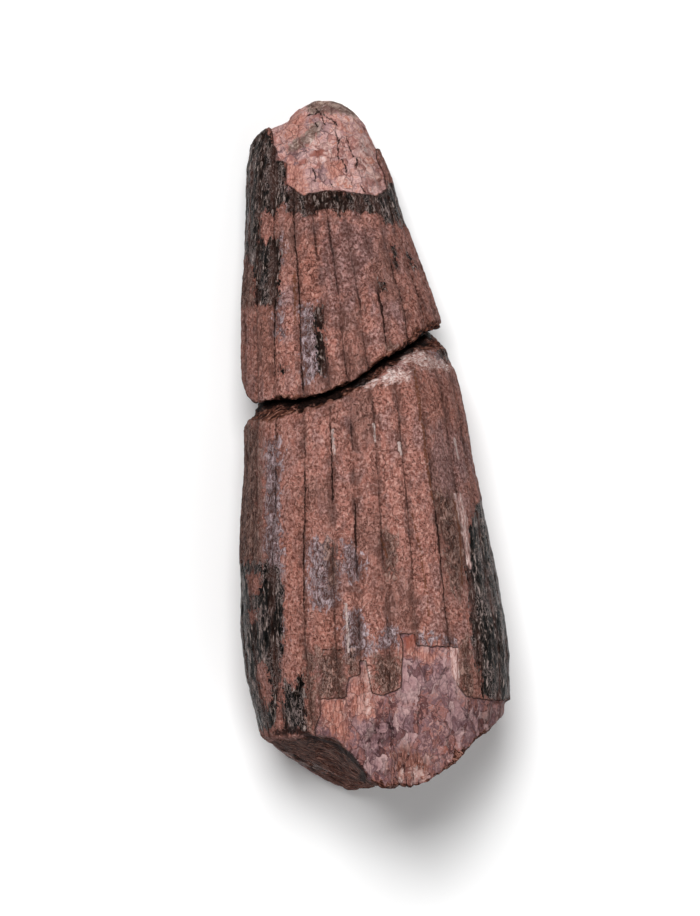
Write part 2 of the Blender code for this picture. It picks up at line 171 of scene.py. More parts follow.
GREY = (
    ((-7.4, 13.8), (-6.0, 13.7), (-5.4, 11.0), (-5.2, 7.2), (-6.8, 6.2), (-7.3, 9.0)),
    ((-9.9, 14.4), (-9.3, 14.5), (-9.2, 10.8), (-9.8, 10.6)),
    ((-10.0, 21.0), (-9.3, 20.6), (-9.2, 18.0), (-9.6, 18.2)),
    ((-8.9, 25.6), (-8.0, 25.0), (-8.2, 23.2), (-8.9, 23.0)),
    (
        (-10.9, 0.2), (-9.6, 0.6), (-9.3, -5.0), (-9.2, -12.5), (-9.2, -20.5), (-9.8, -22.8),
        (-10.9, -18.0), (-11.0, -6.0),
    ),
    ((-6.5, -9.5), (-5.2, -9.3), (-4.0, -10.0), (-3.3, -12.0), (-3.6, -15.3), (-5.0, -16.3), (-6.3, -16.0)),
    ((-3.4, -9.6), (-2.4, -9.7), (-1.2, -11.8), (-1.4, -13.2), (-3.2, -13.3)),
    ((-3.1, -16.4), (-1.7, -16.2), (-0.8, -18.4), (-0.6, -20.6), (-2.9, -21.6)),
    ((1.3, -17.8), (2.2, -17.9), (2.3, -20.0), (0.2, -20.4), (0.2, -18.8)),
    ((4.0, -18.8), (5.6, -18.9), (5.8, -19.8), (4.1, -19.8)),
    ((6.4, -19.0), (8.0, -19.2), (8.1, -20.1), (6.2, -20.0)),
    ((5.5, 9.2), (6.6, 9.2), (7.0, 8.0), (5.6, 7.9)),
)
BROWN = (
    ((5.6, -4.8), (7.7, -4.9), (8.3, -8.0), (9.0, -12.6), (8.5, -15.5), (7.4, -14.5), (6.6, -9.5)),
    ((8.4, -19.4), (9.5, -19.2), (9.8, -25.1), (8.5, -24.9)),
    ((-6.9, -20.6), (-5.9, -20.4), (-5.8, -28.1), (-6.9, -28.2)),
    ((-5.8, -20.2), (-3.2, -20.3), (-2.8, -24.9), (-5.7, -25.0)),
    ((-0.1, -21.0), (1.0, -20.9), (2.5, -21.3), (2.5, -23.9), (0.5, -24.6), (-0.1, -23.4)),
    ((-3.0, -20.6), (-2.0, -20.4), (-1.9, -22.6), (-2.6, -22.6)),
    ((-4.9, -9.8), (-3.9, -10.0), (-3.8, -14.2), (-4.6, -14.4)),
    ((0.6, -8.8), (2.0, -8.8), (2.2, -13.5), (1.0, -12.6)),
    ((-16, 18.0), (-12.6, 18.4), (-11.9, 17.0), (-12.0, 13.7), (-16, 13.6)),
    ((-16, 2.4), (-11.4, 2.0), (-11.3, -11.6), (-16, -11.8)),
    ((1.4, 10.2), (2.2, 9.8), (1.8, 9.2), (1.0, 9.6)),
)
OLIVE = (
    (
        (-8.8, 29.5), (-8.2, 30.3), (-6.9, 31.2), (-6.4, 32.1), (-5.7, 32.4), (-5.5, 31.7), (-6.7, 30.4),
        (-7.6, 29.8),
    ),
    ((-7.2, 34.6), (-4.5, 35.2), (-1.8, 34.2), (-1.6, 33.0), (-3, 33.4), (-5, 33.6), (-6.4, 33.3)),
    ((4.7, 12.2), (6.4, 12.6), (6.5, 11.3), (4.9, 11.1)),
    ((-12, 4.6), (-10.6, 4.2), (-10.2, 2.6), (-11.6, 2.4)),
)
PALE = (
    ((-1.9, 5.8), (0.6, 6.7), (2.4, 7.5), (3.5, 7.3), (3.3, 6.4), (1.4, 6.0), (-0.4, 5.6)),
    ((2.6, 9.1), (4.4, 9.2), (5.4, 8.9), (7.4, 8.0), (7.6, 7.3), (5.0, 7.7), (3.9, 8.2), (2.7, 8.0)),
    ((-1.1, -21.4), (-0.7, -21.6), (-0.5, -26.4), (-1.0, -26.2)),
    ((0.4, 30.2), (-0.8, 28.2), (0.4, 27.2), (0.2, 25.4), (-1.4, 27.6), (-1.9, 29.4), (-1.4, 30.8)),
    ((-6.7, 30.8), (-4.4, 30.4), (-4.2, 28.6), (-5.2, 27.8), (-6.4, 29.4)),
    ((3.4, -32.2), (4.4, -31.6), (4.8, -32.8), (3.8, -33.3)),
    ((2.0, -32.2), (2.7, -31.9), (2.9, -33.2), (2.3, -33.3)),
)
SLIVERS = (  # splinters of bare dentine between the flutes
    ((7.9, -4.9), (8.5, -5.0), (9.1, -8.0), (9.5, -12.3), (9.2, -11.9), (8.6, -8.4)),
    ((7.4, -20.1), (8.1, -20.2), (8.2, -23.7), (7.6, -22.6)),
)
SALMON = (
    ((-5.5, -25.2), (-2.8, -25.0), (-2.6, -29.2), (-3.6, -29.0), (-5.4, -27.6)),
    ((-2.5, -22.8), (-0.3, -21.4), (-0.1, -26.6), (-1.4, -27.2), (-2.4, -26.0)),
    ((2.9, -19.0), (3.9, -18.8), (3.9, -20.2), (6.4, -20.4), (5.4, -21.5), (4.2, -21.4), (3.1, -20.6)),
    (
        (-8.5, 32.9), (-7.6, 33.5), (-6.9, 33.2), (-7.1, 32.3), (-6.9, 31.8), (-7.8, 30.6), (-9.1, 30.4),
        (-9.2, 31.4),
    ),
    ((-8.8, 28.0), (-7.6, 28.0), (-6.9, 26.6), (-6.8, 25.0), (-8.1, 25.3), (-8.9, 26.2)),
    ((-4.9, 28.6), (-3.3, 28.6), (-2.9, 27.6), (-3.6, 26.7), (-4.7, 26.9)),
    ((-3.4, 32.2), (-2.2, 31.6), (-2.0, 31.0), (-3.2, 31.4)),
)
WARM = (
    ((1.6, -30.2), (3.4, -29.6), (5.6, -30.8), (5.6, -32.4), (4.8, -33.4), (1.8, -33.5)),
    ((-1.4, 5.6), (3.0, 6.6), (3.9, 6.4), (3.3, 4.4), (0.4, 4.6)),
    ((4.4, 6.8), (7.6, 6.6), (8.0, 3.0), (5.2, 2.4)),
    ((-11.5, 13.7), (-9.9, 13.7), (-9.9, 6.3), (-11.5, 6.3)),
    ((-7.5, 20.4), (-5.7, 20.4), (-5.7, 13.5), (-7.5, 13.5)),
    ((-9.1, -5.5), (-6.7, -5.5), (-6.7, -23.2), (-9.1, -23.2)),
    ((-6, -15.8), (-2.9, -15.8), (-2.9, -20.5), (-6, -20.5)),
    ((2.8, 15.0), (5.0, 14.6), (6.0, 11.6), (3.4, 11.0)),
    ((-1.0, 9.2), (0.0, 9.3), (0.0, 7.9), (-1.0, 7.8)),
    ((-13.2, -12.9), (-11.3, -12.9), (-11.4, -14.9), (-12.6, -15.0)),
)
PURPLE = (
    ((2.8, -21.2), (4.2, -22.0), (5.4, -21.0), (5.7, -23.0), (4.6, -24.8), (3.0, -24.9)),
    ((6.3, -22.0), (8.2, -22.6), (8.1, -24.4), (7.0, -25.0), (6.2, -24.2)),
    (
        (-2.0, -27.2), (1.2, -26.2), (4.4, -27.0), (4.0, -29.6), (1.4, -30.0), (1.2, -33.2),
        (-0.8, -33.0), (-2.2, -29.6),
    ),
    ((7.0, -25.6), (10.2, -25.8), (11.8, -27.4), (10.4, -29.2), (7.8, -28.4)),
    ((-4.6, 28.1), (-3.4, 28.1), (-3.4, 27.5), (-4.5, 27.5)),
    ((-6.1, 27.6), (-5.3, 27.7), (-5.0, 26.5), (-5.9, 26.3)),
    ((-9.1, 29.7), (-7.6, 29.6), (-6.9, 30.0), (-7.0, 29.4), (-7.9, 28.7), (-8.3, 28.2), (-9.0, 28.9)),
    ((-6.7, 32.5), (-5.3, 32.4), (-5.4, 31.2), (-6.6, 31.4)),
    ((2.2, -19.0), (3.0, -18.8), (3.0, -19.5), (2.3, -19.6)),
)
MAUVE = (
    ((-5.5, 21.6), (-2.2, 22.4), (0.6, 21.8), (0.4, 18.2), (-1.4, 14.5), (-4.6, 13.6), (-5.8, 17.0)),
    ((-2.4, 21.4), (-1.0, 21.6), (-0.4, 20.0), (-1.4, 19.0), (-2.4, 19.8)),
    ((5.4, 1.8), (8.4, 1.8), (9.6, -1.2), (10.0, -4.8), (5.6, -4.8)),
    ((0.2, 14.2), (1.9, 14.0), (2.0, 12.4), (0.4, 12.4)),
    ((-3.0, 3.8), (-1.9, 4.6), (-1.7, 2.4), (-2.8, 2.0)),
    ((-9.8, 16.0), (-8.6, 16.1), (-8.6, 10.8), (-9.8, 10.8)),
    ((1.0, 8.3), (2.5, 8.8), (2.7, 7.7), (1.7, 6.8), (0.9, 6.8)),
)
DARK_RED = (
    ((-6.5, 28.9), (-6.2, 29.3), (-5.3, 29.5), (-5.2, 29.3), (-5.9, 28.8)),
    ((-7.7, 28.3), (-7.0, 28.6), (-6.9, 28.3), (-7.6, 28.0)),
    ((2.9, -18.9), (3.7, -18.9), (3.8, -19.7), (3.1, -20.2)),
)
BASE_TORN_RIM = (  # the base piece's broken edge along the break, where the enamel is gone
    (
        (-13, 5.5), (-7.5, 5.2), (-5.3, 5.2), (-2.1, 6.8), (0.1, 8.3), (2.6, 10.0), (4.7, 11.5),
        (8, 11.0), (7.2, 9.6), (5.2, 9.4), (3, 8.7), (1.3, 7.8), (0.1, 6.5), (-1.5, 5.7), (-3, 4.8),
        (-4.5, 4.2), (-7.2, 3.5), (-9, 2.8), (-10.3, 2.2), (-12, 2.4), (-13.5, 2.6),
    ),
)
TIP_TORN_RIM = (  # the tip piece's chipped edge, at the right end of the break
    (
        (-0.8, 7.7), (0.5, 8.9), (2.0, 9.5), (2.9, 10.1), (3.5, 10.7), (3.9, 11.5), (4.7, 11.6), (5.5, 12.3),
        (7, 12.5), (7, 9), (0, 7),
    ),
)
DARK_EDGE = (  # chipped lower right edge of the base piece
    (
        (4.7, -33.9), (5.2, -33.0), (6.6, -32.0), (7.6, -31.3), (8.0, -30.2), (9.2, -29.9), (9.8, -29.0),
        (11.6, -27.8), (12, -30), (8, -34), (5, -35),
    ),
    ((-3, -33.2), (-1.5, -33.4), (0.2, -33.3), (2.5, -33.5), (5, -33.6), (5, -36), (-3, -36)),
)

# Cracks in the dentine and across the enamel
CRACKS = (
    ((-5.96, 33.96), (-5.5, 33.3), (-5.0, 32.3)),
    ((-5.2, 33.5), (-3.7, 32.1)),
    ((-6.9, 33.15), (-6.0, 33.2), (-5.5, 33.8)),
    ((-6.0, 32.7), (-5.8, 32.1)),
    ((-3.8, 31.7), (-3.55, 30.6), (-3.7, 29.0), (-2.7, 27.4)),
    ((-3.0, 31.2), (-2.5, 30.5), (-2.1, 29.4), (-1.6, 28.0)),
    ((-4.6, 26.7), (-4.2, 25.8)),
    ((-1.3, 26.0), (-0.8, 25.1)),
    ((-6.2, 27.6), (-6.0, 26.2)),
    ((2.8, -31.6), (3.1, -33.8)),
    ((1.9, -32.8), (2.5, -34.0)),
    ((3.9, -32.2), (3.8, -34.0)),
    ((-5.6, -20.1), (-3.2, -20.3)),
    ((-2.6, -17.5), (-2.5, -19.6), (-2.4, -22.4)),
)
# Grooves that are carved open, with dark painted shade, for most of this length
OPEN_GROOVES = (
    ((-7.9, 22.6), (-7.7, 17.0), (-7.5, 6.0)),
    ((-9.8, 13.8), (-9.8, 6.0)),
    ((1.8, 17.5), (2.6, 13.0), (3.4, 10.4)),
    ((3.6, 17.0), (4.6, 12.0)),
    ((0.4, 14.4), (0.9, 10.6)),
    ((6.2, -7.2), (6.9, -12.8), (7.7, -16.8), (8.1, -19.8)),
    ((8.5, -7.5), (9.1, -11.5), (9.4, -13.0)),
    ((1.95, -9.0), (2.3, -14.0), (2.6, -18.5)),
    ((-6.4, -3.0), (-6.6, -14.0), (-6.1, -19.0)),
    ((-9.3, -3.0), (-9.2, -20.0)),
    ((-1.7, -6.5), (-1.2, -12.6)),
    ((-11.0, 2.0), (-11.2, -12.0)),
    ((-4.1, 1.4), (-4.0, -5.0)),
)
RUST_LINES = (
    ((3.9, 7.2), (4.6, 2.0), (5.2, -2.7), (5.7, -5.6)),
    ((3.6, -6.7), (4.4, -10.0), (4.9, -13.8), (5.3, -16.9)),
    ((7.8, -5.4), (8.4, -9.0), (8.6, -13.8)),
    ((0.6, -9.2), (1.2, -11.2)),
    ((-8.0, 17.0), (-7.9, 12.0)),
)
FRACTURE_BORDER = (
    ((-9.8, -28.6), (-8, -28.2), (-6, -29.1), (-4.2, -29.7), (-2.4, -30.8), (-1.2, -32.3), (-1.3, -33.9)),
)
PALE_FLECKS = (
    ((-4.2, 1.4), (-4.0, -1.0)),
    ((-0.2, 2.0), (0.0, 0.2)),
    ((2.3, 0.2), (2.5, -1.0)),
    ((-2.9, -15.6), (-2.6, -20.4)),
    ((7.9, 0.6), (8.3, -1.4)),
)

# Fineness of the copies, and points nearer than this are one, in millimetres and in metres
TIP_GRID = 0.158
BASE_GRID = 0.227
ONE_POINT = 0.000004

# How strongly the surface mirrors, and the height of its bump in millimetres
SPECULAR_LEVEL = 0.06
BUMP_DEPTH = 0.2

# Farther than this from an outline or a line, in millimetres, makes no difference
REACH = 3


# Numbers along curves and over outlines


def smooth_curve(points, at):
    """Values on a smooth curve through (place, value) points, for many places at once."""
    places, values = (np.array(column, float) for column in zip(*points))
    at = np.clip(at, places[0], places[-1])
    i = np.clip(np.searchsorted(places, at, side="left") - 1, 0, len(places) - 2)
    before = np.maximum(i - 1, 0)
    after = np.minimum(i + 2, len(places) - 1)
    width = places[i + 1] - places[i]
    start_slope = (values[i + 1] - values[before]) / (places[i + 1] - places[before])
    end_slope = (values[after] - values[i]) / (places[after] - places[i])
    t = (at - places[i]) / width
    return (
        (2 * t**3 - 3 * t**2 + 1) * values[i]
        + (t**3 - 2 * t**2 + t) * width * start_slope
        + (3 * t**2 - 2 * t**3) * values[i + 1]
        + (t**3 - t**2) * width * end_slope
    )


def distance_to_line(plan, line):
    """Distance in plan from each point to a line through several corners."""
    nearest = np.full(len(plan), 99.0)
    corners = np.array(line, float)
    for start, end in zip(corners, corners[1:]):
        run = end - start
        share = np.clip(((plan - start) @ run) / (run @ run), 0, 1)
        gap = plan - start - share[:, None] * run
        nearest = np.minimum(nearest, np.hypot(gap[:, 0], gap[:, 1]))
    return nearest


def inside_outline(plan, outline):
    """How far each point lies inside an outline in plan. It is negative outside."""
    closed = tuple(outline) + (outline[0],)
    inside = np.zeros(len(plan), bool)
    x, y = plan[:, 0], plan[:, 1]
    for (ax, ay), (bx, by) in zip(closed, closed[1:]):
        if ay == by:
            continue
        crosses = (ay > y) != (by > y)
        inside ^= crosses & (x < ax + (y - ay) * (bx - ax) / (by - ay))
    return np.where(inside, 1, -1) * distance_to_line(plan, closed)


def inside_any(plan, outlines):
    """How far each point lies inside the outline that holds it best."""
    return np.clip(np.max([inside_outline(plan, outline) for outline in outlines], axis=0), -REACH, REACH)


def nearest_of(plan, lines):
    return np.clip(np.min([distance_to_line(plan, line) for line in lines], axis=0), 0, REACH)


def unevenness(points, size, seed, stretch=(1, 1, 1)):
    """Smooth noise from about -0.5 to 0.5 at each point, with swells of about the given size."""
    places = points / (np.array(stretch) * size) + seed
    return np.array([noise.noise(place) for place in places.tolist()]) * 0.5


def ease(value, low, high):
    """0 below low, 1 above high, and a smooth step between."""
    t = np.clip((value - low) / (high - low), 0, 1)
    return t * t * (3 - 2 * t)


def notch(distance, half_width):
    """1 on a line and 0 away from it, as a smooth narrow notch."""
    return np.exp(-((distance / half_width) ** 2))


# Where the finishes lie on a piece


class Surface:
    """The points of a piece in the drawing's millimetres, and where they lie on the crown."""

    def __init__(self, piece):
        flat = np.empty(len(piece.data.vertices) * 3)
        piece.data.vertices.foreach_get("co", flat)
        self.points = flat.reshape(-1, 3) / MM - DRAWING_SHIFT
        piece.data.vertices.foreach_get("normal", flat)
        self.normals = flat.reshape(-1, 3).copy()
        self.plan = self.points[:, :2]
        x, y, z = self.points.T
        left, right = smooth_curve(LEFT_EDGE, y), smooth_curve(RIGHT_EDGE, y)
        half_height = smooth_curve(HEIGHT, y) / 2
        centre_z = half_height - WORN_FLAT
        across = (x - (left + right) / 2) / ((right - left) / 2)
        up = (z - centre_z) / half_height
        share = (np.abs(across) ** SECTION_POWER + np.abs(up) ** SECTION_POWER) ** (1 / SECTION_POWER)
        radius = np.hypot(x - (left + right) / 2, z - centre_z)
        self.depth = radius * (1 / np.maximum(share, 0.05) - 1)
        angle = np.degrees(np.arctan2(across, up)) - TWIST * y
        angle = (angle - GROOVE_ANGLES[0]) % 360 + GROOVE_ANGLES[0]
        edges = np.array(GROOVE_ANGLES, float)
        self.flute = np.clip(np.searchsorted(edges, angle, side="right") - 1, 0, len(edges) - 2)
        start, end = edges[self.flute], edges[self.flute + 1]
        width = np.radians(end - start) * radius
        self.groove = np.sin(np.pi * (self.flute + (angle - start) / (end - start))) * width / np.pi
        # How near each point lies to the left or right edge of the crown; the material paints shade there.
        self.side = ease(np.abs(across + 0.08), 0.5, 1.0)
        self.under = ease(centre_z - z, 1.0, 4.5)
        self.past_break = y - smooth_curve(BREAK_LINE, x) - BREAK_RAKE * (BREAK_TOP - z)

    def torn_plan(self, share=1.0):
        """The plan, pushed about a little, so that a patch drawn with few corners has a torn edge."""
        x_push = unevenness(self.points, 0.9, 5.2) * 0.55 + unevenness(self.points, 0.35, 9.7) * 0.22
        y_push = unevenness(self.points, 0.7, 31.4, (0.6, 2.5, 0.6)) * 1.3
        return self.plan + share * np.column_stack((x_push, y_push))

    def along_flutes(self, seed, length):
        """A number from about -0.5 to 0.5 that each flute changes slowly along its length."""
        lone = self.points.copy()
        lone[:, 0] = self.flute * 7.3
        lone[:, 2] = 0
        return unevenness(lone, length, seed)

    def hidden_patches(self, seed, length, share):
        """Patches for the side that the photographer never saw: flutes change by themselves."""
        by_flute = 0.75 * self.along_flutes(seed, length)
        by_place = 0.5 * unevenness(self.points, length * 0.6, seed + 3)
        return 4.5 * (by_flute + by_place) - share


def finishes_of(surface, bare_outline, bare_outline_below, ledges_meet, tip_end):
    """How far each point lies inside each finish, in millimetres."""
    torn = surface.torn_plan()
    hardly_torn = surface.torn_plan(0.22)
    under = surface.under
    points = surface.points
    x, y, z = points.T
    fine = unevenness(points, 0.5, 71.0)
    nowhere = np.full(len(x), -2.0)
    out_of_sight = REACH * ease(under, 0.2, 0.4)

    def on_both_sides(outlines, hidden, plan=torn):
        return inside_any(plan, outlines) * (1 - under) + hidden * under

    bare_above = np.clip(inside_outline(hardly_torn, bare_outline), -REACH, REACH)
    bare_below = np.clip(inside_outline(hardly_torn, bare_outline_below), -REACH, REACH)
    broken = np.clip(surface.depth - 0.85 + 0.3 * fine, -2, 2)
    ragged = 0.9 * unevenness(points, 1.3, 83.0) + 0.7 * fine
    if tip_end:
        broken = np.where(y > 20, -2.0, broken)
        from_break = -surface.past_break
        torn_rim = np.maximum(on_both_sides(TIP_TORN_RIM, nowhere), 0.62 + ragged + from_break)
        # Painted shadow in the gap of the break: near black on the tip piece's broken end and just beside it.
        gap_shade = 0.34 + ragged + from_break
    else:
        broken = np.maximum(broken, on_both_sides(DARK_EDGE, nowhere))
        torn_rim = np.maximum(inside_any(hardly_torn, BASE_TORN_RIM), 0.6 + fine + surface.past_break)
        torn_rim = torn_rim * (1 - under) + (0.9 + surface.past_break + 2 * fine) * under
        # Painted shadow in the gap of the break: near black on the base piece's broken end and just beside
        # it.
        gap_shade = 0.42 + 1.1 * ragged + surface.past_break
    black = on_both_sides(BLACK, surface.hidden_patches(40.0, 9.0, 0.35))
    islands = on_both_sides(RED_IN_BLACK, nowhere)
    # How open each groove is: it sets how deep the groove is carved and how dark its painted shade is.
    groove_opening = 0.28 + 1.6 * unevenness(points, 2.0, 12.0, (0.6, 1.5, 0.6)) + 0.6 * surface.along_flutes(33.0, 5.0)
    groove_opening += ease(-nearest_of(surface.plan, OPEN_GROOVES), -0.9, -0.4) * (1 - under)
    return {
        "side": surface.side,
        "gap_shade": np.clip(gap_shade, -2, 2),
        "border": np.maximum(nearest_of(hardly_torn, FRACTURE_BORDER), out_of_sight),
        "groove": surface.groove + 0.2 * fine,
        "groove_depth_and_shade": np.clip(groove_opening, 0, 1),
        "tone": surface.along_flutes(55.0, 11.0) + 0.4 * unevenness(points, 3.0, 58.0),
        "black": np.minimum(black, -islands),
        "grey": on_both_sides(GREY, surface.hidden_patches(90.0, 7.0, 0.5)),
        "brown": on_both_sides(BROWN, surface.hidden_patches(140.0, 6.0, 0.7)),
        "warm": on_both_sides(WARM, surface.hidden_patches(170.0, 7.0, 0.3)),
        "olive": 0.15 + on_both_sides(OLIVE, nowhere, hardly_torn),
        "pale": on_both_sides(PALE, nowhere),
        "sliver": 0.1 + on_both_sides(SLIVERS, nowhere, hardly_torn),
        "salmon": on_both_sides(SALMON, unevenness(points, 2.2, 60.0) * 3 - 0.6),
        "purple": on_both_sides(PURPLE, unevenness(points, 2.6, 64.0) * 3 - 0.3),
        "mauve": on_both_sides(MAUVE, unevenness(points, 4.0, 68.0) * 4 - 0.3),
        "dark_red": 0.1 + on_both_sides(DARK_RED, nowhere, hardly_torn),
        "torn_rim": np.clip(torn_rim, -2, 2),
        "bare": np.where(z > ledges_meet, bare_above, bare_below),
        "broken": broken,
        "crack": np.maximum(nearest_of(hardly_torn, CRACKS), out_of_sight),
        "rust": np.maximum(nearest_of(hardly_torn, RUST_LINES), out_of_sight),
        "fleck": np.maximum(nearest_of(hardly_torn, PALE_FLECKS), out_of_sight),
    }


def store(piece, finishes):
    """Keeps each finish's numbers on the piece's points, for its material to read."""
    for name, values in finishes.items():
        kept = piece.data.attributes.new(name, "FLOAT", "POINT")
        kept.data.foreach_set("value", values.astype(np.float32))


# Carving


def plate_relief(points, size, seed, chosen):
    """Heights, from about -0.5 to 0.5, of tilted plates that break off against each other."""
    heights = np.zeros(len(points))
    places = points / np.array(size) + seed
    for i in np.nonzero(chosen)[0]:
        here = Vector(places[i])
        centres = noise.voronoi(here)[1]
        lean = noise.cell_vector(centres[0] * 7.7)
        level = noise.cell(centres[0] * 3.1)
        heights[i] = level - 0.5 + 0.9 * (here - centres[0]).dot(lean)
    return heights


def striations(points, direction, pitch, seed):
    """Fine lines that run one way in plan, from about -0.5 to 0.5."""
    turn = math.radians(direction)
    along = points[:, 0] * math.cos(turn) + points[:, 1] * math.sin(turn)
    across = points[:, 1] * math.cos(turn) - points[:, 0] * math.sin(turn)
    return unevenness(np.column_stack((along / 9, across, points[:, 2] * 0.1)), pitch, seed)


def carve(surface, finishes, plate_size, plate_depth):
    """Heights that wrinkle the enamel, deepen grooves and cracks, and break dentine into plates."""
    points = surface.points
    bare = ease(finishes["bare"], 0.0, 0.3)
    broken = ease(finishes["broken"], 0.0, 0.4)
    rim = ease(finishes["torn_rim"], 0.0, 0.35) * (1 - broken)
    enamel = (1 - bare) * (1 - broken) * (1 - rim)
    wrinkles = unevenness(points, 0.62, 3.0, (0.7, 2.2, 0.7)) * 0.16 + unevenness(points, 0.36, 8.0) * 0.10
    steps = surface.along_flutes(21.0, 4.0) * 0.28
    groove = notch(finishes["groove"], 0.12) * finishes["groove_depth_and_shade"] * 0.22
    groove -= notch(finishes["groove"], 0.34) * 0.16
    crack = notch(finishes["crack"], 0.13) * 0.14 + notch(finishes["border"], 0.3) * 0.12
    lost_coat = ease(finishes["black"], -0.05, 0.12) * 0.06
    pits = ease(unevenness(points, 1.1, 77.0, (0.8, 1.6, 0.8)), 0.19, 0.24) * 0.12
    facing_up = 0.25 + 0.75 * ease(surface.normals[:, 2], 0.1, 0.7)
    plates = plate_relief(points, plate_size, 17.0, bare > 0.3) * plate_depth * bare * facing_up
    rough = unevenness(points, 0.9, 22.0) * 0.34 + striations(points, -32, 0.42, 27.0) * 0.34
    ragged = unevenness(points, 0.7, 35.0, (1.6, 0.7, 0.7)) * 0.5 - 0.22
    wrinkled = enamel * (wrinkles + steps - groove - lost_coat - pits)
    return wrinkled + plates + broken * rough + rim * ragged - crack


def move_points(piece, surface, heights, box):
    """Moves each point along its normal and frays the break's rims, inside the solid's box."""
    moved = surface.points + surface.normals * heights[:, None]
    near_break = notch(surface.past_break, 0.9) * ease(-surface.depth, -1.2, -0.6)
    moved[:, 1] += near_break * unevenness(surface.points, 0.8, 44.0, (0.8, 2, 0.8)) * 0.55
    flat = (surface.points[:, 2] < 0.12) & (surface.normals[:, 2] < -0.7)
    moved[flat] = surface.points[flat]
    moved = np.clip((moved + DRAWING_SHIFT) * MM, np.array(box[0]), np.array(box[1]))
    piece.data.vertices.foreach_set("co", moved.ravel())
    piece.data.update()


# Pieces


def select_only(piece):
    bpy.ops.object.select_all(action="DESELECT")
    piece.select_set(True)
    bpy.context.view_layer.objects.active = piece


def fine_copy(node, name, grid):
    """A copy of a solid with an even, fine mesh."""
    select_only(node)
    bpy.ops.object.duplicate()
    piece = bpy.context.active_object
    bpy.ops.object.parent_clear(type="CLEAR_KEEP_TRANSFORM")
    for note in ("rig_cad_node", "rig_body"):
        del piece[note]
    piece.name = name
    piece.data.name = name
    bpy.ops.object.mode_set(mode="EDIT")
    bpy.ops.mesh.select_all(action="SELECT")
    bpy.ops.mesh.remove_doubles(threshold=ONE_POINT)
    bpy.ops.object.mode_set(mode="OBJECT")
    remesh = piece.modifiers.new("even mesh", "REMESH")
    remesh.mode = "VOXEL"
    remesh.voxel_size = grid * MM
    bpy.ops.object.modifier_apply(modifier=remesh.name)
    soften = piece.modifiers.new("soften", "SMOOTH")
    soften.factor = 0.4
    soften.iterations = 1
    bpy.ops.object.modifier_apply(modifier=soften.name)
    bpy.ops.object.shade_smooth()
    return piece


# Material recipes


def paint(red, green, blue):
    """A colour given in the 0 to 255 steps of a picture, as Blender's linear colour."""
    steps = np.array((red, green, blue)) / 255
    linear = np.where(steps <= 0.04045, steps / 12.92, ((steps + 0.055) / 1.055) ** 2.4)
    return (*linear.tolist(), 1.0)


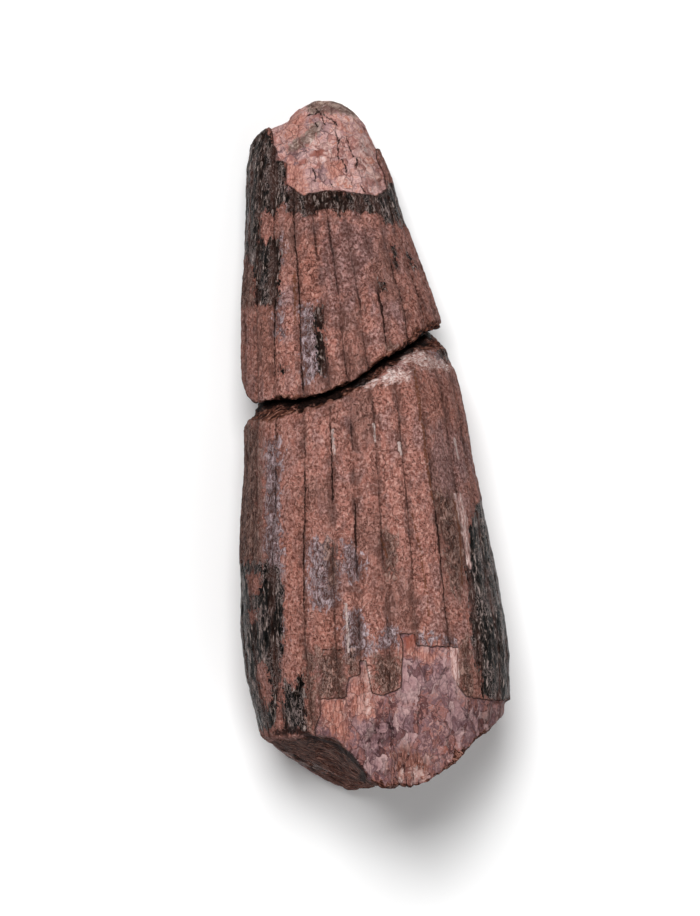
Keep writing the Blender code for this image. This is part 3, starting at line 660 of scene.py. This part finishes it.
class Recipe:
    """Builds a material from plain calls. Lengths in it are millimetres."""

    def __init__(self, name):
        self.material = bpy.data.materials.new(name)
        self.material.use_nodes = True
        self.tree = self.material.node_tree
        self.shader = self.tree.nodes["Principled BSDF"]
        place = self.tree.nodes.new("ShaderNodeTexCoord")
        self.place = self.stretched(place.outputs["Object"], (1000, 1000, 1000))

    def join(self, source, socket):
        if isinstance(source, bpy.types.NodeSocket):
            self.tree.links.new(source, socket)
        else:
            socket.default_value = source

    def stretched(self, place, scale, turn=(0, 0, 0)):
        node = self.tree.nodes.new("ShaderNodeMapping")
        self.join(place, node.inputs["Vector"])
        node.inputs["Scale"].default_value = scale
        node.inputs["Rotation"].default_value = [math.radians(angle) for angle in turn]
        return node.outputs["Vector"]

    def held(self, name):
        """A number that the piece's points hold."""
        node = self.tree.nodes.new("ShaderNodeAttribute")
        node.attribute_name = name
        return node.outputs["Fac"]

    def mottle(self, size, detail=3, rough=0.55, stretch=(1, 1, 1), warp=0.0, turn=(0, 0, 0)):
        """Noise with specks of about the given size, drawn out by stretch."""
        node = self.tree.nodes.new("ShaderNodeTexNoise")
        place = self.stretched(self.place, (1, 1, 1), turn)
        self.join(self.stretched(place, [1 / (size * share) for share in stretch]), node.inputs["Vector"])
        node.inputs["Scale"].default_value = 1.0
        node.inputs["Detail"].default_value = detail
        node.inputs["Roughness"].default_value = rough
        node.inputs["Distortion"].default_value = warp
        return node.outputs["Fac"]

    def plates(self, size, warp):
        """Tilted plates of about the given size: each one's own colour, its height, its rim."""
        bend = self.tree.nodes.new("ShaderNodeTexNoise")
        self.join(self.place, bend.inputs["Vector"])
        bend.inputs["Scale"].default_value = 0.8
        bend.inputs["Detail"].default_value = 3
        shift = self.tree.nodes.new("ShaderNodeVectorMath")
        shift.operation = "MULTIPLY_ADD"
        self.join(bend.outputs["Color"], shift.inputs[0])
        shift.inputs[1].default_value = (warp, warp, warp)
        self.join(self.place, shift.inputs[2])
        place = self.stretched(shift.outputs["Vector"], [1 / length for length in size])
        cells, rims = (self.tree.nodes.new("ShaderNodeTexVoronoi") for _ in range(2))
        rims.feature = "DISTANCE_TO_EDGE"
        for node in (cells, rims):
            self.join(place, node.inputs["Vector"])
            node.inputs["Scale"].default_value = 1.0
        lean, from_middle, tilt = (self.tree.nodes.new("ShaderNodeVectorMath") for _ in range(3))
        lean.operation = from_middle.operation = "SUBTRACT"
        tilt.operation = "DOT_PRODUCT"
        self.join(cells.outputs["Color"], lean.inputs[0])
        lean.inputs[1].default_value = (0.5, 0.5, 0.5)
        self.join(place, from_middle.inputs[0])
        self.join(cells.outputs["Position"], from_middle.inputs[1])
        self.join(lean.outputs["Vector"], tilt.inputs[0])
        self.join(from_middle.outputs["Vector"], tilt.inputs[1])
        split = self.tree.nodes.new("ShaderNodeSeparateColor")
        self.join(cells.outputs["Color"], split.inputs["Color"])
        height = self.math("MULTIPLY_ADD", split.outputs["Green"], 0.35, tilt.outputs["Value"])
        return split.outputs["Red"], height, rims.outputs["Distance"]

    def math(self, kind, first, second=0.0, third=0.0):
        node = self.tree.nodes.new("ShaderNodeMath")
        node.operation = kind
        for source, socket in zip((first, second, third), node.inputs):
            self.join(source, socket)
        return node.outputs["Value"]

    def step(self, value, low, high, start=0.0, end=1.0):
        """A smooth step from start to end as the value goes from low to high."""
        node = self.tree.nodes.new("ShaderNodeMapRange")
        node.interpolation_type = "SMOOTHSTEP"
        sockets = ("Value", "From Min", "From Max", "To Min", "To Max")
        for source, name in zip((value, low, high, start, end), sockets):
            self.join(source, node.inputs[name])
        return node.outputs["Result"]

    def threads(self, field, level, width, strength=1.0):
        """Thin wandering lines, where a mottle passes through a level."""
        away = self.math("ABSOLUTE", self.math("SUBTRACT", field, level))
        return self.step(away, width * 0.35, width, strength, 0.0)

    def within(self, name, ragged, torn, soft=0.06):
        """1 inside a finish, 0 outside, with an edge torn by a mottle."""
        torn_edge = self.math("MULTIPLY_ADD", self.math("SUBTRACT", torn, 0.5), ragged, self.held(name))
        return self.step(torn_edge, -soft, soft)

    def line(self, name, half_width, torn, strength=1.0):
        """1 on a line that the piece holds the distance to, uneven in width."""
        away = self.math("ABSOLUTE", self.held(name))
        away = self.math("MULTIPLY_ADD", self.math("SUBTRACT", torn, 0.5), half_width * 2.5, away)
        return self.step(away, half_width * 0.4, half_width, strength, 0.0)

    def both(self, first, second):
        return self.math("MULTIPLY", first, second)

    def blend(self, share, first, second):
        """A mix of two colours."""
        node = self.tree.nodes.new("ShaderNodeMix")
        node.data_type = "RGBA"
        for source, socket in ((share, node.inputs[0]), (first, node.inputs[6]), (second, node.inputs[7])):
            self.join(source, socket)
        return node.outputs[2]

    def mix(self, share, first, second):
        """A mix of two numbers."""
        node = self.tree.nodes.new("ShaderNodeMix")
        for source, socket in ((share, node.inputs[0]), (first, node.inputs[2]), (second, node.inputs[3])):
            self.join(source, socket)
        return node.outputs[0]

    def shades(self, value, *stops):
        """A colour for each value: a stop is a value, and red, green and blue as for paint."""
        node = self.tree.nodes.new("ShaderNodeValToRGB")
        ramp = node.color_ramp
        placed = [(position, paint(*colour)) for position, *colour in stops]
        ramp.elements[0].position, ramp.elements[0].color = placed[0]
        ramp.elements[1].position, ramp.elements[1].color = placed[-1]
        for position, colour in placed[1:-1]:
            ramp.elements.new(position).color = colour
        self.join(value, node.inputs["Fac"])
        return node.outputs["Color"]


# The fossil's material


class Pattern:
    """The mottles, plates and creases that the finishes of a piece share."""

    def __init__(self, recipe, plate_size, plate_warp):
        self.lump = recipe.mottle(0.62, 3, 0.6, (1, 1.35, 1), 0.9)
        self.grain = recipe.mottle(0.26, 3, 0.6, (1, 1.2, 1), 0.4)
        self.broad = recipe.mottle(1.9, 3, 0.6, (0.8, 1.5, 0.8), 0.4)
        self.fibre = recipe.mottle(0.20, 3, 0.6, (0.8, 5.5, 0.8), 0.2)
        self.ridges = recipe.mottle(0.36, 3, 0.6, (0.8, 3.2, 0.8), 0.6)
        self.strokes = recipe.mottle(0.30, 3, 0.6, (3.2, 0.9, 1.0), 0.6, (0, 0, -28))
        plate_tone, self.plate_height, self.rim = recipe.plates(plate_size, plate_warp)
        self.tone = recipe.math("ADD", recipe.math("MULTIPLY_ADD", self.lump, 2.2, -1.1), plate_tone)
        self.clot = recipe.math("MULTIPLY_ADD", self.fibre, 0.35, recipe.math("MULTIPLY", self.lump, 0.65))
        # Painted shade down thin creases of the lumps, weaker where the broad mottle is high, and a painted
        # highlight beside each crease.
        creased = recipe.step(self.broad, 0.38, 0.60, 0.75, 0.25)
        self.crease_shade = recipe.both(recipe.threads(self.lump, 0.465, 0.024), creased)
        self.crease_highlight = recipe.threads(self.lump, 0.535, 0.020)
        wavy = recipe.mottle(0.42, 2, 0.6, (0.75, 2.0, 0.75), 1.3)
        self.pale_thread = recipe.threads(wavy, 0.5, 0.052)
        self.dark_thread = recipe.threads(wavy, 0.43, 0.036)


class Mask:
    """Where each finish lies: 1 inside it and 0 outside it."""

    def __init__(self, recipe, pattern):
        tear = recipe.math("MULTIPLY_ADD", pattern.fibre, 0.5, recipe.math("MULTIPLY", pattern.grain, 0.5))
        self.black = recipe.within("black", 2.8, tear)
        self.grey = recipe.within("grey", 5.0, pattern.clot, 0.3)
        self.brown = recipe.within("brown", 5.0, pattern.clot, 0.35)
        self.warm = recipe.within("warm", 3.6, pattern.clot, 0.6)
        self.mauve = recipe.within("mauve", 6.0, pattern.broad, 0.9)
        self.bare = recipe.within("bare", 0.25, pattern.grain, 0.03)
        self.broken = recipe.within("broken", 0.5, pattern.grain, 0.1)
        self.torn_rim = recipe.within("torn_rim", 1.2, pattern.strokes, 0.1)
        self.olive = recipe.within("olive", 1.2, pattern.lump, 0.15)
        self.pale = recipe.within("pale", 1.8, pattern.strokes, 0.25)
        self.sliver = recipe.within("sliver", 0.35, pattern.fibre, 0.08)
        self.salmon = recipe.within("salmon", 1.6, pattern.grain, 0.35)
        self.purple = recipe.within("purple", 2.0, pattern.tone, 0.25)
        self.dark_red = recipe.within("dark_red", 0.6, pattern.grain, 0.12)
        # Painted shadow in the gap of the break, not a finish of the tooth.
        self.gap_shade = recipe.within("gap_shade", 0.9, pattern.grain, 0.12)


def red_enamel(recipe, pattern, mask):
    """Dull terracotta enamel, leathery, with painted shade in its creases and painted highlight beside them.
    """
    grain = pattern.grain
    red = recipe.shades(
        grain, (0.34, 122, 74, 64), (0.44, 150, 98, 87), (0.52, 168, 115, 103),
        (0.60, 182, 130, 118), (0.70, 202, 158, 146),
    )
    dusky = recipe.shades(
        grain, (0.36, 74, 48, 45), (0.5, 134, 97, 92), (0.66, 184, 148, 143),
    )
    dark_flute = recipe.shades(
        pattern.fibre, (0.36, 74, 48, 42), (0.5, 122, 84, 75), (0.66, 160, 120, 110),
    )
    warm = recipe.shades(
        grain, (0.34, 88, 48, 38), (0.48, 146, 90, 76), (0.62, 172, 116, 100),
        (0.72, 196, 148, 134),
    )
    mauve = recipe.shades(
        grain, (0.38, 80, 57, 58), (0.5, 132, 101, 101), (0.62, 174, 140, 139),
    )
    red = recipe.blend(recipe.step(pattern.broad, 0.46, 0.62, 0.0, 0.65), red, dusky)
    red = recipe.blend(recipe.step(recipe.held("tone"), 0.0, 0.36, 0.0, 0.75), red, dark_flute)
    red = recipe.blend(recipe.both(mask.warm, 0.45), red, warm)
    red = recipe.blend(recipe.both(mask.mauve, 0.45), red, mauve)
    # Painted shade in the creases, and a faint painted highlight beside them.
    red = recipe.blend(pattern.crease_shade, red, paint(58, 34, 30))
    return recipe.blend(recipe.both(pattern.crease_highlight, 0.22), red, paint(212, 176, 166))


def brown_coat(recipe, pattern):
    """Brown remains of a coat on the enamel, with dark and pale threads."""
    coat = recipe.shades(
        pattern.clot, (0.42, 26, 15, 11), (0.48, 72, 46, 38), (0.53, 112, 78, 68),
        (0.60, 166, 132, 121),
    )
    coat = recipe.blend(recipe.both(pattern.dark_thread, 0.85), coat, paint(26, 15, 11))
    return recipe.blend(recipe.both(pattern.pale_thread, 0.45), coat, paint(178, 148, 138))


def grey_coat(recipe, pattern):
    """Grey remains of a coat on the enamel, with dark and pale threads."""
    coat = recipe.shades(
        pattern.clot, (0.42, 34, 22, 21), (0.47, 82, 62, 63), (0.53, 124, 101, 104),
        (0.60, 186, 168, 173),
    )
    coat = recipe.blend(recipe.both(pattern.dark_thread, 0.9), coat, paint(34, 22, 22))
    return recipe.blend(recipe.both(pattern.pale_thread, 0.6), coat, paint(194, 178, 182))


def black_coat(recipe, pattern):
    """Black enamel, with painted glints of pale grey on its ridges and threads."""
    # The pale top of this ramp is a painted glint on the ridges.
    coat = recipe.shades(
        pattern.ridges, (0.44, 3, 2, 1), (0.52, 12, 7, 4), (0.58, 66, 54, 48),
        (0.66, 168, 150, 144),
    )
    # Painted glints: pale grey threads over the black, in some places.
    glinting = recipe.step(pattern.broad, 0.44, 0.58, 0.0, 0.7)
    return recipe.blend(recipe.both(pattern.pale_thread, glinting), coat, paint(158, 138, 134))


def enamel_colour(recipe, pattern, mask, groove):
    """The red enamel, the coats that lie on it, painted shade in and beside its grooves, and its rust lines
    and flecks.
    """
    enamel = red_enamel(recipe, pattern, mask)
    enamel = recipe.blend(recipe.both(mask.grey, 0.85), enamel, grey_coat(recipe, pattern))
    enamel = recipe.blend(recipe.both(mask.brown, 0.92), enamel, brown_coat(recipe, pattern))
    enamel = recipe.blend(mask.black, enamel, black_coat(recipe, pattern))
    # Painted shade: a soft dark band in the valleys beside the grooves, and a near-black line down the
    # grooves.
    shaded = recipe.step(pattern.broad, 0.36, 0.62, 0.15, 0.6)
    groove_valley_shade = recipe.both(recipe.line("groove", 0.66, pattern.lump), shaded)
    enamel = recipe.blend(groove_valley_shade, enamel, paint(74, 47, 40))
    enamel = recipe.blend(recipe.both(groove, 0.88), enamel, paint(26, 15, 11))
    enamel = recipe.blend(recipe.line("rust", 0.15, pattern.grain, 0.7), enamel, paint(104, 62, 42))
    return recipe.blend(recipe.line("fleck", 0.17, pattern.grain, 0.8), enamel, paint(206, 184, 178))


def dentine_colour(recipe, pattern, mask, seam, dentine_shades):
    """Overlapping plates of pink, flesh and mauve dentine, with painted shade and highlight on each plate,
    and painted shadow at the foot of the enamel ledge.
    """
    fibre, grain, tone = pattern.fibre, pattern.grain, pattern.tone
    purple = recipe.shades(
        tone, (0.0, 46, 31, 34), (0.35, 84, 60, 64), (0.65, 116, 88, 92),
        (1.0, 160, 127, 128),
    )
    salmon = recipe.shades(
        fibre, (0.36, 124, 72, 60), (0.5, 166, 109, 95), (0.66, 196, 143, 128),
    )
    warm = recipe.shades(
        fibre, (0.36, 56, 29, 23), (0.5, 110, 67, 56), (0.66, 154, 106, 92),
    )
    olive = recipe.shades(
        pattern.lump, (0.40, 72, 57, 49), (0.52, 120, 102, 92), (0.64, 166, 148, 136),
    )
    dentine = recipe.shades(tone, *dentine_shades)
    dentine = recipe.blend(recipe.both(mask.purple, 0.9), dentine, purple)
    dentine = recipe.blend(recipe.both(mask.salmon, 0.85), dentine, salmon)
    dentine = recipe.blend(recipe.both(mask.warm, 0.9), dentine, warm)
    dentine = recipe.blend(recipe.both(mask.olive, 0.85), dentine, olive)
    # Painted shade on the low side of each tilted plate and painted highlight on its high side.
    plate_shade = recipe.step(pattern.plate_height, -0.35, 0.05, 0.5, 0.0)
    dentine = recipe.blend(plate_shade, dentine, paint(106, 70, 68))
    plate_highlight = recipe.step(pattern.plate_height, 0.2, 0.55, 0.0, 0.26)
    dentine = recipe.blend(plate_highlight, dentine, paint(224, 192, 186))
    dentine = recipe.blend(recipe.step(grain, 0.34, 0.46, 0.35, 0.0), dentine, paint(104, 70, 68))
    dentine = recipe.blend(recipe.step(grain, 0.56, 0.68, 0.0, 0.25), dentine, paint(220, 190, 184))
    dentine = recipe.blend(seam, dentine, paint(84, 54, 52))
    # Painted shadow: dark brown on the dentine at the foot of the enamel's ledge.
    ledge_shadow = recipe.step(recipe.held("bare"), 0.03, 0.20, 0.85, 0.0)
    return recipe.blend(ledge_shadow, dentine, paint(42, 24, 20))


def broken_face(recipe):
    """The fracture at the root end: dark reddish brown, with light streaks that run one way."""
    return recipe.shades(
        recipe.mottle(0.24, 3, 0.62, (7.0, 0.75, 0.8), 0.2, (0, 0, 30)), (0.36, 16, 6, 4),
        (0.47, 66, 36, 28), (0.57, 108, 68, 57), (0.70, 176, 132, 118),
    )


def torn_face(recipe, pattern):
    """The torn rims of the break across the crown."""
    return recipe.shades(
        pattern.strokes, (0.36, 14, 7, 5), (0.46, 60, 32, 24), (0.56, 112, 68, 54),
        (0.70, 176, 130, 114),
    )


def pale_crust(recipe, pattern, mask):
    """Pale crust, in streaks beside the break and in lumps on the dentine."""
    flow = recipe.mottle(0.26, 3, 0.62, (6.0, 0.9, 1.0), 1.2, (0, 0, -20))
    return recipe.shades(
        recipe.mix(mask.bare, flow, pattern.lump), (0.34, 116, 78, 70),
        (0.44, 172, 130, 121), (0.55, 218, 190, 183), (0.67, 240, 226, 222),
    )


def splinter(recipe, pattern):
    """Pale splinters of dentine between the flutes."""
    return recipe.shades(
        pattern.fibre, (0.36, 138, 96, 88), (0.5, 190, 152, 145), (0.64, 226, 200, 194),
    )


def layered_colour(recipe, pattern, mask, enamel, dentine, crack):
    """Dentine, broken faces, crust and cracks, laid over the enamel, then painted shade towards the far sides
    and painted shadow in the gap of the break.
    """
    colour = recipe.blend(mask.bare, enamel, dentine)
    colour = recipe.blend(mask.torn_rim, colour, torn_face(recipe, pattern))
    colour = recipe.blend(mask.broken, colour, broken_face(recipe))
    crusted = recipe.both(mask.pale, recipe.mix(mask.bare, 0.9, 0.38))
    colour = recipe.blend(crusted, colour, pale_crust(recipe, pattern, mask))
    colour = recipe.blend(recipe.both(mask.sliver, 0.9), colour, splinter(recipe, pattern))
    colour = recipe.blend(recipe.both(mask.dark_red, 0.7), colour, paint(130, 66, 52))
    # Painted shade: darker towards the left and right edges of the crown, but not on the black enamel.
    whole_black = recipe.both(mask.black, recipe.math("SUBTRACT", 1.0, mask.broken))
    side_shade = recipe.both(recipe.held("side"), recipe.mix(whole_black, 0.3, 0.0))
    colour = recipe.blend(side_shade, colour, paint(42, 26, 22))
    colour = recipe.blend(crack, colour, paint(36, 22, 20))
    colour = recipe.blend(recipe.line("border", 0.46, pattern.strokes, 0.9), colour, paint(32, 14, 10))
    # Painted shadow, near black, in the gap between the two pieces.
    return recipe.blend(recipe.both(mask.gap_shade, 0.92), colour, paint(9, 5, 4))


def dullness(recipe, pattern, mask):
    """How rough the surface is: dull, but for the black enamel, which has a faint polish."""
    dull = recipe.step(pattern.grain, 0.3, 0.7, 0.74, 0.6)
    polished = recipe.step(pattern.fibre, 0.3, 0.7, 0.34, 0.22)
    return recipe.mix(mask.black, dull, polished)


def relief(recipe, pattern, mask, groove, crack, seam):
    """The fine heights of the surface, for its bump."""
    leathery = recipe.math("MULTIPLY_ADD", pattern.lump, 1.9, recipe.both(pattern.grain, 1.2))
    leathery = recipe.math("SUBTRACT", leathery, recipe.both(pattern.crease_shade, 0.5))
    veins = recipe.mix(mask.black, pattern.fibre, pattern.ridges)
    veined = recipe.math("MULTIPLY_ADD", veins, 1.3, recipe.both(pattern.pale_thread, 0.5))
    remains = recipe.math("MAXIMUM", recipe.both(mask.brown, 0.7), recipe.both(mask.grey, 0.7))
    fibrous = recipe.math("MAXIMUM", mask.black, remains)
    coat = recipe.mix(fibrous, leathery, recipe.math("ADD", veined, 0.5))
    flaky = recipe.math("MULTIPLY_ADD", pattern.grain, 0.6, recipe.both(pattern.plate_height, 1.1))
    flaky = recipe.math("SUBTRACT", flaky, recipe.both(seam, 0.3))
    height = recipe.mix(mask.bare, coat, flaky)
    height = recipe.mix(mask.torn_rim, height, recipe.both(pattern.strokes, 2.2))
    return recipe.math("SUBTRACT", height, recipe.math("MAXIMUM", groove, crack))


def fossil_material(name, plate_size, plate_warp, seam_width, seam_strength, dentine_shades):
    """Every finish of a piece in one material, laid over each other in the order of the real coats."""
    recipe = Recipe(name)
    pattern = Pattern(recipe, plate_size, plate_warp)
    mask = Mask(recipe, pattern)
    # Painted shade down the grooves, where they are carved open.
    groove = recipe.both(recipe.line("groove", 0.10, pattern.grain), recipe.held("groove_depth_and_shade"))
    crack = recipe.line("crack", 0.09, pattern.grain, 0.9)
    seamed = recipe.step(pattern.broad, 0.42, 0.58, 0.25, 0.9)
    seam = recipe.both(recipe.step(pattern.rim, 0.0, seam_width, 1.0, 0.0), seamed)
    enamel = enamel_colour(recipe, pattern, mask, groove)
    dentine = dentine_colour(recipe, pattern, mask, recipe.both(seam, seam_strength), dentine_shades)
    colour = layered_colour(recipe, pattern, mask, enamel, dentine, crack)
    recipe.join(colour, recipe.shader.inputs["Base Color"])
    recipe.join(dullness(recipe, pattern, mask), recipe.shader.inputs["Roughness"])
    recipe.shader.inputs["Specular IOR Level"].default_value = SPECULAR_LEVEL
    bump = recipe.tree.nodes.new("ShaderNodeBump")
    bump.inputs["Strength"].default_value = 1.0
    bump.inputs["Distance"].default_value = BUMP_DEPTH * MM
    recipe.join(relief(recipe, pattern, mask, groove, crack, seam), bump.inputs["Height"])
    recipe.join(bump.outputs["Normal"], recipe.shader.inputs["Normal"])
    return recipe.material


# Surroundings


def floor():
    """A pale surface under the tooth, far larger than the view."""
    bpy.ops.mesh.primitive_plane_add(size=3.0, location=(0, 0, -0.0001))
    ground = bpy.context.active_object
    ground.name = "pale_floor"
    material = bpy.data.materials.new("pale floor")
    material.use_nodes = True
    shader = material.node_tree.nodes["Principled BSDF"]
    shader.inputs["Base Color"].default_value = (0.93, 0.93, 0.93, 1)
    shader.inputs["Roughness"].default_value = 0.9
    ground.data.materials.append(material)


def soft_light(name, place, size, power):
    """A square soft light that points at the tooth."""
    bpy.ops.object.light_add(type="AREA", location=place)
    lamp = bpy.context.active_object
    lamp.name = name
    lamp.data.size = size
    lamp.data.energy = power
    lamp.rotation_euler = (-Vector(place)).to_track_quat("-Z", "Y").to_euler()


def surroundings():
    floor()
    soft_light("main light", (-0.06, 0.26, 0.68), 0.30, 5.5)
    soft_light("fill light", (0.30, -0.25, 0.60), 0.50, 1.6)
    world = bpy.data.worlds.new("pale room")
    world.use_nodes = True
    world.node_tree.nodes["Background"].inputs["Color"].default_value = (1, 1, 1, 1)
    world.node_tree.nodes["Background"].inputs["Strength"].default_value = 0.10
    bpy.context.scene.world = world
    bpy.context.scene.view_settings.view_transform = "Standard"


def camera():
    """Looks straight down on the tooth from far off, with a long lens."""
    picture_height = 0.0916
    middle = (-0.0025, -0.001185, 0.010)
    lens, sensor = 300.0, 36.0
    bpy.ops.object.camera_add(location=(middle[0], middle[1], middle[2] + picture_height * lens / sensor))
    eye = bpy.context.active_object
    eye.data.lens = lens
    eye.data.sensor_width = sensor
    eye.data.clip_start = 0.01
    eye.data.clip_end = 20
    bpy.context.scene.camera = eye


def dress(node, name, grid, material, finishes_at, plates, box):
    """Replaces a solid by its finely carved and coloured copy."""
    piece = fine_copy(node, name, grid)
    surface = Surface(piece)
    finishes = finishes_of(surface, *finishes_at)
    move_points(piece, surface, carve(surface, finishes, *plates), box)
    store(piece, finishes)
    piece.data.materials.clear()
    piece.data.materials.append(material)
    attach(piece, "root")
    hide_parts(node.name)


def tip_material():
    """The tip's dentine is cream and pink, in thin shells that overlap."""
    return fossil_material("tip enamel and dentine", (1.05, 1.05, 1.05), 0.8, 0.05, 0.6, (
        (0.0, 150, 104, 98), (0.25, 184, 134, 124), (0.45, 198, 160, 154),
        (0.65, 164, 126, 126), (0.85, 208, 170, 160), (1.0, 178, 120, 104),
    ))


def base_material():
    """The base's dentine is mauve and brownish pink, in blocks that stand along the crown."""
    return fossil_material("base enamel and dentine", (0.9, 1.6, 0.9), 1.4, 0.05, 0.35, (
        (0.0, 84, 54, 54), (0.22, 146, 99, 92), (0.42, 122, 91, 94),
        (0.62, 96, 68, 71), (0.82, 162, 124, 120), (1.0, 140, 87, 77),
    ))


def main():
    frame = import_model()
    solid_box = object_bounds()
    dress(
        frame["nodes"]["crown_tip"], "tip_piece", TIP_GRID, tip_material(),
        (TIP_LEDGE, TIP_LEDGE_BELOW, TIP_LEDGES_MEET, True), ((1.1, 1.2, 1.1), 0.22), solid_box,
    )
    dress(
        frame["nodes"]["crown_base"], "base_piece", BASE_GRID, base_material(),
        (BASE_LEDGE, BASE_LEDGE_BELOW, BASE_LEDGES_MEET, False), ((1.3, 2.2, 1.3), 0.2), solid_box,
    )
    surroundings()
    camera()


main()
